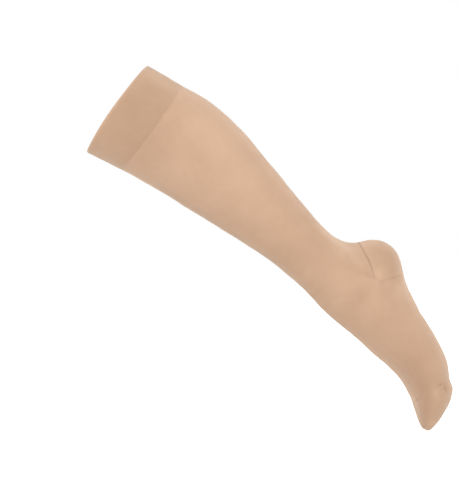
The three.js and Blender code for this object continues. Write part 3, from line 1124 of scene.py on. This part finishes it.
def yarn_tint_group():
    group, given, made = new_group(
        "Yarn tint",
        inputs={
            "Yarn": WHITE, "Stretched yarn": WHITE, "Dark yarn and shade": BLACK, "Stretch": 1.0, "From seam": 1.0,
            "Seam dark": 0.0, "Inside": 0.0, "Gap": 0.0, "Paler": 0.0, "Strip": 0.0, "Where": Vector(),
        },
        outputs={"Colour": WHITE, "Roughness": 1.0},
    )
    pull = ranged(group, given["Stretch"], 1.0, FULL_STRETCH, 0.0, 1.0)
    colour = mixed(group, pull, given["Yarn"], given["Stretched yarn"])
    fineness, detail, amount = FLECK
    fleck = noise(group, fineness, detail, given["Where"])
    darker = ranged(group, fleck, *NOISE_RANGE, 0.0, amount)
    for fineness, detail, amount in UNEVEN:
        patches = noise(group, fineness, detail, given["Where"])
        darker = maths(group, "ADD", darker, ranged(group, patches, *NOISE_RANGE, 0.0, amount))
    # Painted shade in the groove beside each seam
    near = ranged(group, given["From seam"], 0.0, GROOVE_REACH, GROOVE_SHADE, 0.0)
    darker = maths(group, "MULTIPLY_ADD", near, given["Seam dark"], darker)
    for label, amount in SHADES.items():
        darker = maths(group, "MULTIPLY_ADD", given[label], amount, darker)
    darker = maths(group, "ADD", darker, given["Strip"])
    # The yarn's uneven tone and all painted shade mix towards the dark colour
    colour = mixed(group, maths(group, "MAXIMUM", darker, 0.0), colour, given["Dark yarn and shade"])
    # Painted highlights: where the painted light outweighs every darkening, the yarn mixes towards the
    # highlight colour
    painted_highlight_share = maths(group, "MAXIMUM", maths(group, "MULTIPLY", darker, -1.0), 0.0)
    feed(group, made["Colour"], mixed(group, painted_highlight_share, colour, PAINTED_HIGHLIGHT))
    feed(group, made["Roughness"], ranged(group, fleck, *NOISE_RANGE, *ROUGHNESS))
    return group


YARN_TINT = yarn_tint_group()
print("node group:", YARN_TINT.name)

# %% A finish for one knit
STRIP_RAGGED = 0.0012
RAGGED_FINENESS = 260.0
RAGGED_DETAIL = 2.0
# The dark colour for both the uneven yarn and the painted shade
DARK_YARN_AND_SHADE = (0.30, 0.165, 0.095, 1)
BUMP_STRENGTH = 1.0
# What the shader is set to on every knit
EVERYWHERE = {
    "Sheen Weight": 0.6,
    "Sheen Roughness": 0.32,
    "Sheen Tint": (1.0, 0.88, 0.74, 1),
    "Specular IOR Level": 0.22,
}
# What each point notes for the tint
NOTED = ("Stretch", "From seam", "Seam dark", "Inside", "Paler")


def use_group(tree, group, values):
    node = tree.nodes.new("ShaderNodeGroup")
    node.node_tree = group
    for label, value in values.items():
        feed(tree, node.inputs[label], value)
    return node.outputs


def attribute(tree, name):
    node = tree.nodes.new("ShaderNodeAttribute")
    node.attribute_name = name
    return node.outputs["Fac"]


def dark_strip(tree, place, where, strip):
    """How dark the knit is near the band's foot, with a ragged edge."""
    grain = noise(tree, RAGGED_FINENESS, RAGGED_DETAIL, where)
    ragged = ranged(tree, grain, *NOISE_RANGE, -STRIP_RAGGED, STRIP_RAGGED)
    below = maths(tree, "MULTIPLY_ADD", parts_of(tree, place)["Y"], STITCH_LENGTH, ragged)
    return ranged(tree, below, *strip)


def knit_finish(name, yarn, stretched, wales, rows, depth, strip):
    """A knit of one yarn. Wales and rows scale the gauge, and depth is the height of its loops in
    metres. A strip darkens the knit between two distances from the band's foot."""
    material, tree, where = start_material(name)
    place = tree.nodes.new("ShaderNodeUVMap")
    place.uv_map = "knit"
    loops = use_group(tree, KNIT_LOOPS, {"Place": place.outputs["UV"], "Wales": wales, "Rows": rows})
    notes = {label: attribute(tree, label.lower().replace(" ", "_")) for label in NOTED}
    tint = use_group(tree, YARN_TINT, {
        "Yarn": (*yarn, 1), "Stretched yarn": (*stretched, 1), "Dark yarn and shade": DARK_YARN_AND_SHADE,
        "Gap": loops["Gap"], "Where": where, **notes,
        "Strip": dark_strip(tree, place.outputs["UV"], where, strip) if strip else 0.0,
    })
    bump = tree.nodes.new("ShaderNodeBump")
    feed(tree, bump.inputs["Strength"], BUMP_STRENGTH)
    feed(tree, bump.inputs["Distance"], depth)
    feed(tree, bump.inputs["Height"], loops["Height"])
    set_shader(tree, {
        "Base Color": tint["Colour"],
        "Roughness": tint["Roughness"],
        "Normal": bump.outputs["Normal"],
        **EVERYWHERE,
    })
    return material


print("the sheen is", EVERYWHERE["Sheen Weight"], "on every knit")

# %% The four knits and the thread
# A strip is two distances below the band's foot in metres, and how dark the knit is at each
STRIP_ABOVE = (-0.013, -0.006, 0.0, 0.02)
STRIP_BELOW = (-0.001, 0.003, 0.22, 0.0)

# Each knit: its yarn, the yarn when stretched, how many wales and rows it has to one of the plain
# knit's, the height of its loops in metres, and its strip
KNITS = {
    "leg knit": ((0.607, 0.394, 0.265), (0.673, 0.445, 0.303), 1.0, 1.0, 0.00014, STRIP_BELOW),
    "band knit": ((0.583, 0.380, 0.254), (0.609, 0.401, 0.270), 0.5, 0.7, 0.00022, STRIP_ABOVE),
    "heel knit": ((0.646, 0.425, 0.287), (0.697, 0.466, 0.319), 0.8, 0.8, 0.00018, None),
    "toe knit": ((0.618, 0.400, 0.267), (0.658, 0.431, 0.292), 0.8, 0.8, 0.00018, None),
    "linking thread": ((0.607, 0.394, 0.265), (0.607, 0.394, 0.265), 1.0, 1.0, 0.00005, None),
}
MADE_OF = {
    "leg knit": [plain_knit],
    "band knit": [band],
    "heel knit": [pocket],
    "toe knit": [cap],
    "linking thread": [heel_stitches, toe_stitches, hem_stitches, closing_stitches],
}

for name, numbers in KNITS.items():
    finish = knit_finish(name, *numbers)
    for piece in MADE_OF[name]:
        piece.data.materials.append(finish)
        print(piece.name, "is finished in", name)

# %% [markdown]
# ## Studio
# The photograph is cut out on white. A pale floor goes on for ever under the stocking, and the light
# is soft: mostly white all round, as in a light tent, with one lamp in front on the right, a weaker
# one from the upper left that catches the folded edge, and one behind for the thin pale rims.

# %% Floor
FLOOR_LEVEL = -0.419
FLOOR_RADIUS = 12.0
FLOOR_SIDES = 96
FLOOR_GLOW = 0.05
FLOOR_WHITE = 0.6
FLOOR_PAINTS = ((0.92, 0.92, 0.92, 1), (0.95, 0.95, 0.95, 1))
FLOOR_PATCHES = (3.0, 2.0)
FLOOR_ROUGHNESS = 0.7


def pale_floor():
    turns = np.arange(FLOOR_SIDES) / FLOOR_SIDES * 2 * math.pi
    rim = [(FLOOR_RADIUS * math.cos(turn), FLOOR_RADIUS * math.sin(turn), FLOOR_LEVEL) for turn in turns]
    mesh = bpy.data.meshes.new("floor")
    mesh.from_pydata(rim, [], [list(range(FLOOR_SIDES))])
    paint, tree, where = start_material("pale floor")
    set_shader(tree, {
        "Base Color": mixed(tree, noise(tree, *FLOOR_PATCHES, where), *FLOOR_PAINTS),
        "Roughness": FLOOR_ROUGHNESS,
        "Emission Color": WHITE,
        "Emission Strength": for_camera(tree, FLOOR_GLOW, FLOOR_WHITE),
    })
    mesh.materials.append(paint)
    return add_object("floor", mesh)


floor = pale_floor()
print("the floor lies", round(1000 * (cad_low.z - FLOOR_LEVEL)), "mm under the stocking")

# %% Light
MIDDLE = (cad_low + cad_high) / 2
WHITE_ALL_ROUND = 0.82
LAMPS = {
    "key": ((0.65, -1.2, 0.65), 0.7, 7),
    "fill": ((-1.2, -0.9, 0.8), 1.1, 4),
    "back": ((0.75, 1.3, 0.7), 1.0, 9),
}

for name, (place, size, watts) in LAMPS.items():
    lamp = add_object(name, bpy.data.lights.new(name, "AREA"))
    lamp.data.energy = watts
    lamp.data.size = size
    lamp.location = MIDDLE + Vector(place)
    lamp.rotation_euler = (-Vector(place)).to_track_quat("-Z", "Y").to_euler()

world = bpy.data.worlds.new("white room")
world.use_nodes = True
sky = world.node_tree
feed(sky, sky.nodes["Background"].inputs["Color"], WHITE)
feed(sky, sky.nodes["Background"].inputs["Strength"], for_camera(sky, WHITE_ALL_ROUND, 1.0))
bpy.context.scene.world = world
bpy.context.scene.view_settings.view_transform = "Standard"
print(len(LAMPS), "lamps")

# %% [markdown]
# ## Each piece on the part's body
# Every piece rides on the part's one body and takes the place of the solids that it dresses. The
# flat cut of the cloth is worked out too: a stocking comes off the machine much narrower than the leg,
# so the flat size is its girth at rest all round, and it is stretched by a third when worn. The
# pocket's hole is no part of the plain knit's area.

# %% Ride and replace
WORN_OVER_RELAXED = 1.35
CUT_ROWS = 60


def flat_cut(first, last, lines):
    """Width and length, and the area, of a piece of the tube before it is worn, all round."""
    rows = np.linspace(NUMBER[first], NUMBER[last], CUT_ROWS)
    grid = cloth(*np.meshgrid(rows, line_angles, indexing="ij"))
    around = np.linalg.norm(grid - np.roll(grid, -1, axis=1), axis=2)[:, lines]
    down = np.linalg.norm(np.diff(grid, axis=0), axis=2)[:, lines]
    width = float(around.sum(axis=1).max()) / WORN_OVER_RELAXED
    length = float(down.sum(axis=0).max())
    area = float((around[1:] * down).sum()) / WORN_OVER_RELAXED
    return (width, length), area


def declare(piece, nodes, cut):
    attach(piece, "root")
    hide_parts(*nodes)


THREAD_SLOTS = (
    (heel_stitches, "heel_knit"),
    (toe_stitches, "toe_knit"),
    (hem_stitches, "band_knit"),
    (closing_stitches, "toe_knit"),
)
for stitches, slot in THREAD_SLOTS:
    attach(stitches, "root")

band_cut = flat_cut("top_edge", "band_foot", all_lines)
pocket_cut = flat_cut("heel_top", "heel_front", back_lines[:-1])
tube_flat, tube_area = flat_cut("band_foot", "toe_line", all_lines)
declare(band, ["top_band"], band_cut)
declare(plain_knit, ["leg_upper", "leg_lower", "foot_back", "foot_front"],
        (tube_flat, tube_area - pocket_cut[1]))
declare(pocket, ["heel_pocket"], pocket_cut)
declare(cap, ["toe_cap"], flat_cut("toe_line", "tip", all_lines))
